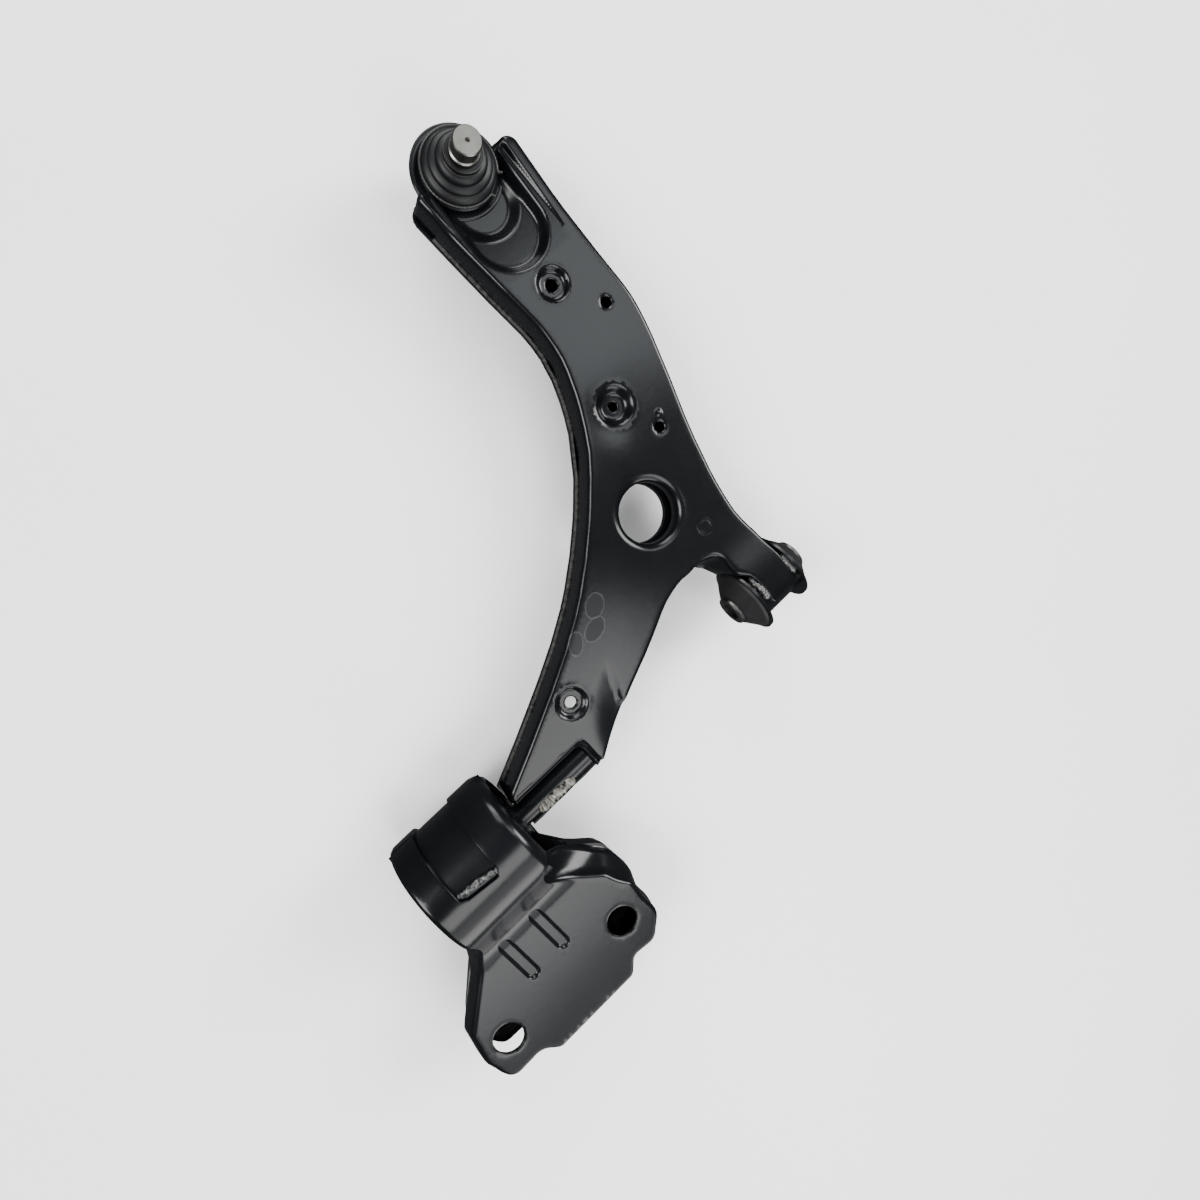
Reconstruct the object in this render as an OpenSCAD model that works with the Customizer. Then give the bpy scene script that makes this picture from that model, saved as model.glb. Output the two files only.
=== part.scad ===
// Stamped clamshell suspension control arm.
// Origin: centre of the front bush bore. +X runs along the bush axis, from the rear bush to the front bush.
// +Y points at the ball joint, +Z is the side the ball stud stands on. Millimetres.

/* [Layout] */
// Distance from the bush axis to the ball joint axis
ball_reach = 351; // [347:1:355]
// Distance between the centres of the front and rear bushes
bush_span = 291; // [288:1:294]
// Half the depth of the closed section, from its middle to the top plate
half_depth = 16; // [15.5:0.5:16.5]
// Thickness of the pressed sheet
sheet_t = 3; // [2.6:0.1:3.2]

/* [Arm] */
// Radius of the large tool hole through both shells
tool_hole_r = 21.5; // [19:0.5:22]
// Outer radius of the rolled edge around the tool hole
tool_lip_r = 27; // [26:0.5:28]
// Depth of the small pressed dimples
dimple_depth = 4; // [3:0.5:5]
// Height of the first step down to the ball joint
step1_z = 8.5; // [8:0.5:9]
// Height of the seat round the ball joint housing
step2_z = 3; // [2.5:0.5:3.5]
// Half width of the pocket between the two rails
pocket_w = 25; // [24.5:0.5:25.5]

/* [Ball joint] */
// Radius of the ball
ball_r = 13.5; // [13:0.5:14]
// Height of the ball centre
ball_z = -3; // [-4:0.5:-3]
// Outer radius of the housing rim
housing_rim_r = 25.2; // [25:0.1:25.6]
// Radius of the plain end of the stud
stud_r = 9; // [8.5:0.1:9.3]
// Height of the end of the stud
stud_top_z = 45; // [43:1:48]

/* [Front bush] */
// Outer radius of the welded tube
tube_r = 21; // [20.5:0.1:21.5]
// Wall of the welded tube
tube_wall = 2.5; // [2.2:0.1:2.8]
// Half length of the welded tube
tube_half = 18; // [17.5:0.5:18.5]
// Radius of the flanges on the bush sleeves
flange_r = 28.4; // [27:0.2:29]
// Outer radius of the inner sleeve
sleeve_r = 12.1; // [11.6:0.1:12.4]
// Radius of the bolt bore in the inner sleeve
bolt_bore_r = 7.25; // [6.5:0.25:7.5]
// Half length of the inner sleeve
sleeve_half = 34; // [33:0.5:35]

/* [Rear bush and bracket] */
// Outer radius of the steel tube round the rear bush
rear_tube_r = 42.5; // [42:0.1:42.8]
// Radius of the rear pin
pin_r = 9; // [8.8:0.1:9.2]
// Half length of the bracket along the bush axis
band_half = 40; // [39:0.5:40.5]
// Distance between the two bracket bolts
bolt_gap = 111; // [109:1:113]
// Distance from the bush axis to the bolt line
bolt_drop = 109; // [108:0.5:110]
// Radius of the large access holes in the upper bracket shell
access_r = 11.8; // [11:0.2:12.2]
// Radius of the bolt holes in the lower bracket shell
bracket_bolt_r = 7.25; // [6.5:0.25:7.5]

/* [Hidden] */
$fn = 64;
running = 0.05;            // radial clearance of a running fit
reach_k = ball_reach / 351;
span_k = bush_span / 291;
bj = [-1, ball_reach];     // ball joint axis in plan
rb_x = -bush_span;         // centre of the rear bush
zt = half_depth;           // top face of the arm plate
zi = half_depth - sheet_t; // inner face of the arm plate
seam_z = -11;              // foot of the upper shell walls
cavity_r = ball_r + 2;     // inside of the housing
rim_room_r = 25.4;          // clear of the housing's rim
clip_room_r = 27.6;         // clear of the boot's wire clip
liner_gap = 0.05;           // liner to ball and to housing
neck_r = 8;                 // stud beside the ball
tilt_deg = 14;              // tilt of the stud each way
mouth_deg = asin(neck_r / ball_r) + tilt_deg + 1.5; // half angle of the liner's mouth
drain_dx = 2;               // drain hole in the lower shell, from the dimple above it
drain_dy = -10;
drain_r = 6.5;
wire_r = 1.1;              // boot clip wire
boot_base_z = 8;           // seat of the boot on the housing
boot_top_z = 27;           // underside of the upper clip
collar_r = 9.6;            // stud collar under the boot's upper lip
neck_end = rb_x + 44;      // end of the arm beside the rear bush
trough_x = rb_x + 105;     // inner end of the pin trough
rubber_rear_r = rear_tube_r - 3;
rear_sleeve_r = 15;
bolt_mid = -13.5;          // middle of the bolt line, from the rear bush centre
bolt_a = [rb_x + bolt_mid + bolt_gap / 2, -bolt_drop];
bolt_b = [rb_x + bolt_mid - bolt_gap / 2, -bolt_drop];

black = [0.06, 0.065, 0.07];
dark_weld = [0.12, 0.12, 0.12];
bare = [0.72, 0.71, 0.68];
soft = [0.03, 0.03, 0.03];
liner_col = [0.85, 0.84, 0.8];

// ---- small helpers ----
function unit(v) = v / norm(v);
function dot(a, b) = a[0] * b[0] + a[1] * b[1];

// Points that round corner b of a polygon, with radius r where the sides allow it.
function corner(a, b, c, r) =
  let (
    u = unit(a - b),
    v = unit(c - b),
    ang = acos(max(-1, min(1, dot(u, v))))
  )
  (ang > 178 || r <= 0) ? [b] :
  let (
    half = ang / 2,
    t = min(r / tan(half), 0.46 * norm(a - b), 0.46 * norm(c - b)),
    re = t * tan(half),
    m = b + unit(u + v) * (re / sin(half)),
    s = b + u * t - m,
    e = b + v * t - m,
    a0 = atan2(s[1], s[0]),
    da0 = atan2(e[1], e[0]) - a0,
    da = da0 > 180 ? da0 - 360 : (da0 < -180 ? da0 + 360 : da0),
    n = max(1, ceil(abs(da) / 28))
  )
  [for (k = [0:n]) m + re * [cos(a0 + da * k / n), sin(a0 + da * k / n)]];

// Closed outline from [x, y, radius] corners.
function rounded(p) =
  let (n = len(p))
  [for (i = [0:n - 1])
    for (q = corner(
      [p[(i + n - 1) % n][0], p[(i + n - 1) % n][1]],
      [p[i][0], p[i][1]],
      [p[(i + 1) % n][0], p[(i + 1) % n][1]],
      p[i][2])) q];

// The outline moved inwards by d. It runs counterclockwise.
function inset(p, d) =
  let (n = len(p))
  [for (i = [0:n - 1])
    let (
      e1 = unit(p[i] - p[(i + n - 1) % n]),
      e2 = unit(p[(i + 1) % n] - p[i]),
      n1 = [-e1[1], e1[0]],
      n2 = [-e2[1], e2[0]]
    )
    p[i] + d * (n1 + n2) / (1 + dot(n1, n2))];

// A pressed pan: steps are [inset, low z, high z] from the open foot up to the plate. depth is the inside height.
module pan(outline, steps, depth) {
  difference() {
    union()
      for (s = steps)
        translate([0, 0, s[1]])
          linear_extrude(height = s[2] - s[1])
            polygon(inset(outline, s[0]));
    translate([0, 0, steps[0][1] - 1])
      linear_extrude(height = depth - steps[0][1] + 1)
        polygon(inset(outline, steps[len(steps) - 1][0] + sheet_t - 1));
  }
}

// A prism whose section lies in the YZ plane, from x0 to x1.
module along_x(x0, x1) {
  translate([x0, 0, 0])
    rotate([90, 0, 90])
      linear_extrude(height = x1 - x0)
        children();
}

// A cylinder on the bush axis.
module axial(x0, x1, r) {
  translate([x0, 0, 0])
    rotate([0, 90, 0])
      cylinder(h = x1 - x0, r = r);
}

// A revolved section on the bush axis: section points are [x, radius].
module turned_x(p) {
  rotate([0, 90, 0])
    rotate_extrude()
      polygon([for (q = p) [q[1], q[0]]]);
}

// ---- outlines ----
arm_keys = [
  [neck_end, -12, 0], [trough_x - 10, -12, 40], [trough_x + 2, -9, 40], [trough_x + 20, 1, 60],
  [-134, 17, 200], [-102, 31, 200], [-72, 47, 60], [-52, 54, 30], [-36, 52, 22],
  [-25, 37, 30], [-13, 27, 8], [-11, 12, 0], [16, 12, 0], [14, 40, 60],
  [11, 62, 80], [14, 92, 120], [21, 130, 200], [31, 166, 200], [40, 202, 120], [43.5, 226, 80],
  [41, 262, 120], [39, 300, 200], [39.5, 349, 7.5], [-38.5, 352, 7.5],
  [-34, 312, 120], [-30, 280, 120], [-25, 246, 60], [-26, 222, 60], [-35, 195, 80],
  [-50, 164, 120], [-78, 132, 120], [-108, 103, 200], [-140, 79, 200], [-177, 58, 200],
  [-215, 38, 200], [neck_end, 22, 0]
];
arm_outline = rounded([for (k = arm_keys) [k[0] < 0 ? k[0] * span_k : k[0], k[1] * reach_k, k[2]]]);

// Bracket outlines, from the rear bush centre.
bracket_keys = [
  [-40, -12, 0], [-42, -36, 8], [-52, -52, 14], [-88, -86, 8], [-95, -112, 16], [-86, -136, 10],
  [-60, -136, 12], [-50, -147, 7], [21, -149, 7], [31, -138, 8], [50, -141, 10],
  [66, -126, 12], [65, -108, 10], [71, -92, 14], [68, -62, 12], [36, -30, 14], [33, -12, 0]
];
lower_keys = [
  [-40, -12, 0], [-42, -36, 8], [-52, -52, 14], [-80, -80, 10], [-86, -104, 12], [-78, -121, 8],
  [-58, -122, 10], [-46, -142, 7], [21, -147, 7], [31, -140, 8], [50, -142, 10],
  [67, -127, 12], [66, -108, 10], [72, -92, 14], [69, -61, 12], [37, -29, 14], [34, -12, 0]
];
function ccw(p) = [for (k = p) [k[0] + rb_x, k[1], k[2]]];
bracket_outline = rounded(ccw(bracket_keys));
lower_outline = rounded(ccw(lower_keys));

// Step plan of the pocket: a round end at y0 that runs on to y1.
module slot_plan(w, y0, y1) {
  translate([bj[0], y0])
    circle(r = w);
  translate([bj[0] - w, y0])
    square([2 * w, y1 - y0]);
}

module pressed_cup(x, y, r, floor_r, hole_r, depth) {
  // a dimple: sloped side, flat floor and a hole
  translate([x, y, zt - depth - sheet_t])
    difference() {
      union() {
        cylinder(h = sheet_t, r = floor_r + 1);
        cylinder(h = depth + sheet_t - 0.2, r1 = floor_r + 1, r2 = r + 1.5);
      }
      translate([0, 0, sheet_t])
        cylinder(h = depth, r1 = floor_r, r2 = r);
      translate([0, 0, -1])
        cylinder(h = sheet_t + 2, r = hole_r);
    }
}

module hole_at(x, y, r, z0 = -30, h = 60) {
  translate([x, y, z0])
    cylinder(h = h, r = r);
}

// ---- arm ----
dimple_a = [1, 262 * reach_k];
dimple_b = [-15, 176 * reach_k];
dimple_c = [-171, 41];
small_a = [24, 232 * reach_k];
small_b = [2, 145 * reach_k];
tool_c = [-42, 104 * reach_k];

module arm_upper_shell() {
  ramp_y = 276 * reach_k;
  color(black)
    difference() {
      union() {
        difference() {
          pan(arm_outline, [[0, seam_z, zt - 2.2], [1, zt - 2.2, zt]], zi);
          // pocket between the rails, open to the nose
          translate([0, 0, -20])
            linear_extrude(height = 60)
              polygon([[bj[0] - 31, ramp_y], [bj[0] + 32, ramp_y], [bj[0] + 34, 400], [bj[0] - 34, 400]]);
          // dimple and tool hole clearances
          hole_at(dimple_a[0], dimple_a[1], 10.5);
          hole_at(dimple_b[0], dimple_b[1], 12.5);
          hole_at(dimple_c[0], dimple_c[1], 10.5);
          hole_at(tool_c[0], tool_c[1], tool_lip_r - 1);
          // trough for the pin
          translate([neck_end - 5, -30, 3])
            cube([trough_x - neck_end + 5, 47, 30]);
        }
        // sloping floor between the rails
        difference() {
          along_x(bj[0] - 33, bj[0] + 34)
            polygon([[ramp_y - 2, zt], [bj[1] - 4, zt - 4], [bj[1] - 4, zi - 4], [ramp_y - 2, zi]]);
          linear_extrude(height = 40)
            slot_plan(pocket_w, 305 * reach_k, 400);
        }
        // first step
        difference() {
          linear_extrude(height = zt - 0.8)
            slot_plan(pocket_w + 2, 305 * reach_k, bj[1] - 4);
          translate([0, 0, step1_z])
            linear_extrude(height = 20)
              slot_plan(pocket_w - 1, 305 * reach_k, 400);
          translate([0, 0, -1])
            linear_extrude(height = 20)
              slot_plan(pocket_w - 1.5, 327 * reach_k, 400);
          translate([0, 0, -1])
            linear_extrude(height = 1 + step1_z - sheet_t)
              slot_plan(pocket_w - 1, 305 * reach_k, 400);
        }
        // second step and the seat round the housing
        difference() {
          union() {
            linear_extrude(height = step1_z)
              slot_plan(pocket_w + 1, 327 * reach_k, bj[1] - 8);
            translate([bj[0], bj[1], 0])
              cylinder(h = step2_z, r = 30);
          }
          translate([0, 0, step2_z])
            linear_extrude(height = 20)
              slot_plan(pocket_w - 2, 328 * reach_k, 400);
        }
        // inner walls of the rails
        for (s = [-1, 1])
          translate([0, 292 * reach_k, 0])
            rotate([90, 0, 180])
              translate([-bj[0], 0, -(bj[1] - 300)])
                linear_extrude(height = bj[1] - 300 + 4)
                  polygon([[s * 35, zt], [s * 31.5, zt], [s * 24.5, 0], [s * 27.5, 0]]);
        // dimples
        pressed_cup(dimple_a[0], dimple_a[1], 10.5, 8, 4.4, dimple_depth);
        pressed_cup(dimple_b[0], dimple_b[1], 12.5, 7.5, 3.6, dimple_depth + 1.5);
        pressed_cup(dimple_c[0], dimple_c[1], 10.5, 7.6, 4.4, dimple_depth - 1);
        // rolled edge of the tool hole
        translate([tool_c[0], tool_c[1], 0])
          rotate_extrude()
            polygon([[tool_lip_r, zt], [tool_lip_r - 3.5, zt - 1.2], [tool_lip_r - 5.5, zt - 5],
              [tool_lip_r - 5.5, zt - 12], [tool_lip_r - 2.5, zt - 12], [tool_lip_r - 2.5, zi - 1],
              [tool_lip_r, zi]]);
        // sloping side and closed end of the pin trough
        along_x(neck_end + 0.5, trough_x)
          polygon([[17, zt], [pin_r, 2], [pin_r + 2.8, 0.6], [20, zt - 2]]);
        translate([trough_x, -10, 2])
          cube([sheet_t, 28, zt - 3]);
        // tongue over the front tube
        difference() {
          along_x(-11, 16)
            difference() {
              circle(r = tube_r + sheet_t);
              polygon([[0, 0], [-9, 50], [-80, 50], [-80, -60], [80, -60], [80, 0], [60, 44]]);
            }
          axial(-60, 60, tube_r);
        }
      }
      axial(-60, 60, tube_r);
      axial(neck_end - 5, trough_x + 10, pin_r);
      hole_at(small_a[0], small_a[1], 3.6, 0, 30);
      hole_at(small_b[0], small_b[1], 3.6, 0, 30);
      hole_at(bj[0], bj[1], 22);
      // room for the housing's rim and for the wire clip above it
      translate([bj[0], bj[1], step2_z])
        cylinder(h = boot_base_z + 0.4 - step2_z, r = rim_room_r);
      translate([bj[0], bj[1], boot_base_z + 0.4])
        cylinder(h = 4, r = clip_room_r);
    }
}

module arm_lower_shell() {
  color(black)
    difference() {
      union() {
        difference() {
          mirror([0, 0, 1])
            pan(arm_outline, [[-1.8, -seam_z, zt - 1], [-1, zt - 1, zt]], zi);
          hole_at(tool_c[0], tool_c[1], tool_lip_r - 1);
        }
        // upstand inside the walls of the upper shell
        difference() {
          translate([0, 0, -zi - 0.5])
            linear_extrude(height = 8)
              polygon(inset(arm_outline, sheet_t + 0.1));
          translate([0, 0, -zi - 1])
            linear_extrude(height = 10)
              polygon(inset(arm_outline, 2 * sheet_t));
          translate([-60, -20, -40])
            cube([120, 47, 80]);
        }
        // rolled edge of the tool hole
        translate([tool_c[0], tool_c[1], 0])
          rotate_extrude()
            polygon([[tool_lip_r, -zt], [tool_lip_r - 3.5, -zt + 1.2], [tool_lip_r - 5.5, -zt + 4],
              [tool_lip_r - 5.5, -zt + 9], [tool_lip_r - 2.5, -zt + 9], [tool_lip_r - 2.5, -zi + 1],
              [tool_lip_r, -zi]]);
      }
      axial(-60, 60, tube_r);
      axial(neck_end - 5, trough_x + 10, pin_r);
      hole_at(bj[0], bj[1], 22.05, -40, 60);
      hole_at(dimple_c[0] + drain_dx, dimple_c[1] + drain_dy, drain_r);
    }
}

module arm_seam_weld() {
  // bead in the step between the wall of the upper shell and the edge of the lower shell
  color(dark_weld)
    difference() {
      translate([0, 0, seam_z])
        linear_extrude(height = 1.6)
          difference() {
            polygon(inset(arm_outline, -1.5));
            polygon(inset(arm_outline, 0));
          }
      translate([-60, -40, -40])
        cube([120, 67, 80]);
      translate([neck_end - 10, -20, -40])
        cube([14, 60, 80]);
      translate([-60, bj[1] - 20, -40])
        cube([120, 60, 80]);
    }
}

// ---- front bush ----
module front_tube() {
  color(black)
    difference() {
      axial(-tube_half, tube_half, tube_r);
      axial(-tube_half - 1, tube_half + 1, tube_r - tube_wall);
    }
}

module front_tube_weld() {
  // beads along both sides of the tongue
  color(dark_weld)
    difference() {
      union()
        for (x = [-11, 16])
          translate([x, 0, 0])
            rotate([0, 90, 0])
              rotate([0, 0, 134])
                rotate_extrude(angle = 44)
                  translate([tube_r + 0.9, 0])
                    circle(r = 1.85, $fn = 24);
      axial(-60, 60, tube_r);
      along_x(-11, 16)
        polygon([[0, 0], [-9, 50], [60, 44]]);
    }
}

module bush_half(s) {
  // flanged outer sleeve of half the bush, s is the side along X
  difference() {
    union() {
      axial(s > 0 ? 0.4 : -tube_half - 2, s > 0 ? tube_half + 2 : -0.4, tube_r - tube_wall);
      axial(s > 0 ? tube_half : -tube_half - 2, s > 0 ? tube_half + 2 : -tube_half, flange_r);
    }
    axial(-60, 60, tube_r - tube_wall - 1.5);
  }
}

module front_bush_outer_sleeve_a() {
  color(black)
    bush_half(-1);
}

module front_bush_outer_sleeve_b() {
  color(black)
    bush_half(1);
}

module front_bush_rubber() {
  core = tube_r - tube_wall - 1.5;
  f = tube_half + 2;
  b = sleeve_r + running;
  color(soft)
    turned_x([
      [-sleeve_half + 3, b], [-sleeve_half + 3.4, b + 2], [-f - 6, 20], [-f - 2, 25], [-f, 26], [-f, core],
      [f, core], [f, 26], [f + 2, 25], [f + 6, 20], [sleeve_half - 3.4, b + 2], [sleeve_half - 3, b]]);
}

module front_bush_inner_sleeve() {
  color(bare)
    difference() {
      turned_x([
        [-sleeve_half, 0], [-sleeve_half, sleeve_r - 0.6], [-sleeve_half + 0.6, sleeve_r],
        [sleeve_half - 0.6, sleeve_r], [sleeve_half, sleeve_r - 0.6], [sleeve_half, 0]]);
      axial(-sleeve_half - 1, sleeve_half + 1, bolt_bore_r);
    }
}

// ---- ball joint ----
module ball_housing() {
  color(black)
    translate([bj[0], bj[1], 0])
      difference() {
        rotate_extrude()
          polygon([[0, -19], [21, -19], [22, -18], [22, step2_z], [housing_rim_r, step2_z],
            [housing_rim_r, boot_base_z - 1], [housing_rim_r - 1, boot_base_z], [0, boot_base_z]]);
        // ball cavity, open below for assembly
        translate([0, 0, ball_z])
          sphere(r = cavity_r);
        translate([0, 0, -20])
          cylinder(h = 20 + ball_z, r = cavity_r);
        translate([0, 0, -20])
          cylinder(h = 4, r = 18.5);
        // mouth
        translate([0, 0, ball_z])
          cylinder(h = boot_base_z - ball_z + 1, r1 = 9, r2 = 16.6);
      }
}

module housing_weld() {
  color(dark_weld)
    translate([bj[0], bj[1], 0])
      rotate_extrude()
        polygon([[22.05, -zt - 0.05], [25, -zt - 0.05], [24.4, -zt - 1.4], [22.9, -zt - 2.4], [22.05, -zt - 2.6]]);
}

module ball_closing_cap() {
  color(bare)
    translate([bj[0], bj[1], 0])
      rotate_extrude()
        polygon([[0, -18.6], [18.5, -18.6], [18.5, -16], [13, -16], [11, -17.4], [0, -17.4]]);
}

module ball_seat_liner() {
  color(liner_col)
    translate([bj[0], bj[1], ball_z])
      difference() {
        sphere(r = cavity_r - liner_gap);
        sphere(r = ball_r + liner_gap);
        // mouth for the stud neck, and the open lower end
        cylinder(h = 30, r1 = 0, r2 = 30 * tan(mouth_deg));
        translate([0, 0, -cavity_r - 4.6])
          cylinder(h = 12, r = 20);
      }
}

module ball_stud() {
  color(bare)
    translate([bj[0], bj[1], 0])
      difference() {
        union() {
          translate([0, 0, ball_z])
            sphere(r = ball_r);
          rotate_extrude()
            polygon([[0, ball_z], [8, ball_z], [7.6, 12], [8, 18], [8.4, boot_top_z - 4], [8.4, boot_top_z + 4],
              [collar_r, boot_top_z + 4.6], [collar_r, boot_top_z + 6.4],
              [stud_r, boot_top_z + 7.2], [stud_r, stud_top_z - 0.8],
              [stud_r - 0.8, stud_top_z], [0, stud_top_z]]);
        }
        translate([0, 0, stud_top_z - 1])
          cylinder(h = 2, r1 = 0.6, r2 = 2.2);
      }
}

boot_outer = [
  [23.4, boot_base_z], [23.8, boot_base_z + 2.6], [23.2, boot_base_z + 5], [20.4, boot_base_z + 6.6],
  [20.6, boot_base_z + 9.2], [19.4, boot_base_z + 11.2], [16.4, boot_base_z + 12.3],
  [16.4, boot_base_z + 14.8], [15, boot_base_z + 16.4], [12.4, boot_base_z + 17.2],
  [11.6, boot_base_z + 18.4], [11.6, boot_top_z + 3.4]
];

module dust_boot() {
  wall = 1.6;
  inner = [for (i = [len(boot_outer) - 1:-1:1]) [max(boot_outer[i][0] - wall, 8.4 + running), boot_outer[i][1] - 0.3]];
  color(soft)
    translate([bj[0], bj[1], 0])
      rotate_extrude()
        polygon(concat(boot_outer, [[8.4 + running, boot_top_z + 3.4]], inner, [[21.6, boot_base_z]]));
}

module boot_lower_clip() {
  // wire ring with two bent ends
  color(bare)
    translate([bj[0], bj[1], boot_base_z + 2])
      union() {
        rotate_extrude()
          translate([23.8 + wire_r, 0])
            circle(r = wire_r, $fn = 24);
        for (a = [-62, -48])
          rotate([0, 0, a])
            translate([23.8 + wire_r, 0, 0])
              rotate([0, 90, 0])
                cylinder(h = 3.4, r = wire_r - 0.25, $fn = 24);
      }
}

module boot_upper_clip() {
  color(soft)
    translate([bj[0], bj[1], boot_top_z])
      difference() {
        cylinder(h = 3, r = 12.6);
        translate([0, 0, -1])
          cylinder(h = 5, r = 11.65);
      }
}

// ---- rear bush ----
module rear_pin() {
  color(bare)
    turned_x([
      [rb_x - 38, 0], [rb_x - 38, pin_r - 1.2], [rb_x - 36.8, pin_r],
      [trough_x - 1.2, pin_r], [trough_x, pin_r - 1.2], [trough_x, 0]]);
}

module rear_pin_weld() {
  // uneven bead between the pin and the low side of the trough
  color(dark_weld)
    difference() {
      for (i = [0:5])
        translate([trough_x - 18 - 5.2 * i, -pin_r + 0.8 + 0.5 * (i % 2), 4.4 + 0.5 * (i % 3)])
          rotate([0, -90, 0])
            cylinder(h = 5.4, r = 2.8 + 0.3 * (i % 3), $fn = 24);
      axial(neck_end - 5, trough_x + 10, pin_r);
      translate([neck_end - 5, -20, -5])
        cube([trough_x - neck_end, 11, 8]);
    }
}

module rear_bush_inner_sleeve() {
  color(bare)
    difference() {
      axial(rb_x - 35, rb_x + 41, rear_sleeve_r);
      axial(rb_x - 36, rb_x + 42, pin_r);
    }
}

module rear_bush_rubber() {
  b = rear_sleeve_r + running;
  color(soft)
    turned_x([
      [rb_x - 30, b], [rb_x - 30, b + 3], [rb_x - 25, 24], [rb_x - 25, 31], [rb_x - 31, rubber_rear_r],
      [rb_x + 31, rubber_rear_r], [rb_x + 25, 31], [rb_x + 25, 24], [rb_x + 31, b + 3], [rb_x + 31, b]]);
}

module rear_bush_outer_tube() {
  color(black)
    difference() {
      axial(rb_x - 35, rb_x + 35, rear_tube_r);
      axial(rb_x - 36, rb_x + 36, rubber_rear_r);
    }
}

// ---- bracket ----
strap_r = rear_tube_r + sheet_t;

// The upper half of the two straps round the tube, with the turned-in rims.
module straps() {
  c = 0.05;
  difference() {
    union() {
      turned_x([
        [rb_x - band_half, rear_tube_r - 1], [rb_x - band_half, strap_r - 3.5],
        [rb_x - band_half + 1.2, strap_r - 1.2], [rb_x - band_half + 4, strap_r],
        [rb_x - 19, strap_r], [rb_x - 19, rear_tube_r + c],
        [rb_x - band_half + 3.4, rear_tube_r + c]]);
      turned_x([
        [rb_x + 12, strap_r - 0.8], [rb_x + band_half - 9, strap_r - 0.8],
        [rb_x + band_half - 4, strap_r - 2.4], [rb_x + band_half - 0.6, strap_r - 6.6],
        [rb_x + band_half, strap_r - 10], [rb_x + band_half - 3, strap_r - 10],
        [rb_x + band_half - 3.6, rear_tube_r - 3.4], [rb_x + band_half - 4.6, rear_tube_r + c],
        [rb_x + 12, rear_tube_r + c]]);
    }
    translate([rb_x - 100, -100, -100])
      cube([200, 200, 100.3]);
  }
}

// Section of the slope from the straps down to the bracket plate.
module bracket_slope() {
  w = strap_r;
  c = 0.1;
  polygon([
    [3, w], [-6, w - 0.4], [-19, w - 4.2], [-32, 32], [-45, zt + 1.2],
    [-50, zt - c], [-62, zt - c], [-62, zi + c], [-50, zi + c], [-47, zi + 0.6],
    [-34, 27.6], [-21, w - 8], [-7, w - 3], [3, w - 2.95]]);
}

// One pressed bracket shell over the tube, its plate upwards.
module bracket_shell(outline) {
  difference() {
    union() {
      straps();
      intersection() {
        along_x(rb_x - 110, rb_x + 110)
          bracket_slope();
        union() {
          linear_extrude(height = 60)
            polygon(inset(outline, 2));
          translate([rb_x - band_half + 1, -46, 0])
            cube([2 * band_half - 8, 49, 60]);
        }
      }
      // plate with its turned-down edge
      difference() {
        intersection() {
          pan(outline, [[0, 0.4, 7], [1.6, 7, zt - 2], [2.4, zt - 2, zt]], zi);
          translate([rb_x - 120, -200, 0])
            cube([240, 172, 60]);
        }
        axial(rb_x - 60, rb_x + 60, rear_tube_r + 0.05);
      }
    }
    // outer tube space and the window over it
    axial(rb_x - 35.4, rb_x + 35.4, rear_tube_r + 0.05);
    translate([rb_x - 19, 3, 0])
      cube([31, 60, 60]);
  }
}

module bracket_upper_shell() {
  color(black)
    difference() {
      bracket_shell(bracket_outline);
      // pressed beads
      for (x = [rb_x + 2.5, rb_x - 26])
        for (y = [-54, -88])
          translate([x, y, zt - 1.2])
            cylinder(h = 3, r = 5);
      for (x = [rb_x + 2.5, rb_x - 26])
        translate([x - 5, -88, zt - 1.2])
          cube([10, 34, 3]);
      hole_at(bolt_a[0], bolt_a[1], access_r, 0, 30);
      hole_at(bolt_b[0], bolt_b[1], access_r, 0, 30);
    }
}

module bracket_lower_shell() {
  color(black)
    difference() {
      mirror([0, 0, 1])
        bracket_shell(lower_outline);
      hole_at(bolt_a[0], bolt_a[1], bracket_bolt_r, -30, 30);
      hole_at(bolt_b[0], bolt_b[1], bracket_bolt_r, -30, 30);
    }
}

module bracket_seam_weld() {
  // bead between the two turned edges, on the sides away from the bolts
  color(dark_weld)
    difference() {
      translate([0, 0, -0.35])
        linear_extrude(height = 0.7)
          difference() {
            polygon(inset(bracket_outline, 0.3));
            polygon(inset(bracket_outline, 2.4));
          }
      translate([rb_x - 120, -200, -10])
        cube([240, 80, 20]);
      axial(rb_x - 60, rb_x + 60, rear_tube_r + 0.4);
    }
}

module bracket_window_weld() {
  // uneven bead between the edge of the window and the tube
  color(dark_weld)
    difference() {
      for (i = [0:5])
        translate([rb_x - 17.5 + 4.8 * i, 3.6 + 0.4 * (i % 2), rear_tube_r + 0.3])
          rotate([0, 90, 0])
            cylinder(h = 5, r = 1.8 + 0.3 * (i % 3), $fn = 24);
      axial(rb_x - 60, rb_x + 60, rear_tube_r);
      translate([rb_x - 40, -17, 30])
        cube([80, 20, 30]);
    }
}

arm_upper_shell();
arm_lower_shell();
arm_seam_weld();
front_tube();
front_tube_weld();
front_bush_outer_sleeve_a();
front_bush_outer_sleeve_b();
front_bush_rubber();
front_bush_inner_sleeve();
ball_housing();
housing_weld();
ball_closing_cap();
ball_seat_liner();
ball_stud();
dust_boot();
boot_lower_clip();
boot_upper_clip();
rear_pin();
rear_pin_weld();
rear_bush_inner_sleeve();
rear_bush_rubber();
rear_bush_outer_tube();
bracket_upper_shell();
bracket_lower_shell();
bracket_seam_weld();
bracket_window_weld();
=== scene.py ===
import math

import bmesh
import bpy
import numpy as np
from mathutils import Matrix, Vector, noise
from mathutils.geometry import delaunay_2d_cdt


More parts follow.
